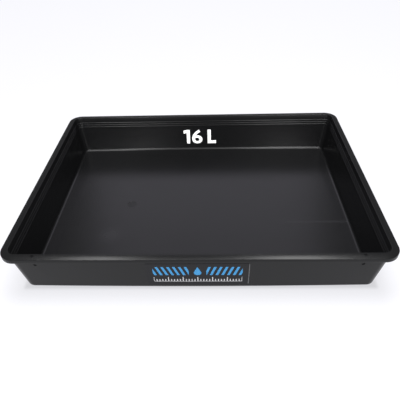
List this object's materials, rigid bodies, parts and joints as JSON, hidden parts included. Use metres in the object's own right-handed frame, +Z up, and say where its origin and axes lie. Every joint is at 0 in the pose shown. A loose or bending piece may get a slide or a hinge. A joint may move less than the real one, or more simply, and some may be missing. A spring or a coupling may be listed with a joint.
{
  "type": "oil drain pan",
  "caption": "Shallow rectangular plastic pan for catching drained oil, with drafted walls, rounded corners and a turned-down rim to lift it by.",
  "frame": {"origin": "on the ground, under the middle of the pan's base", "axes": "+Z up out of the open top, +X along the long side, and the labelled front wall faces -Y"},
  "size_m": [0.57, 0.43, 0.08],
  "materials": {
    "black_plastic": "satin injection-moulded polypropylene, almost black, with a fine moulded grain",
    "label_film": "dark satin printed film with pale blue and white marks"
  },
  "bodies": {
    "root": {"tray": "black_plastic", "front_label": "label_film"}
  },
  "joints": []
}
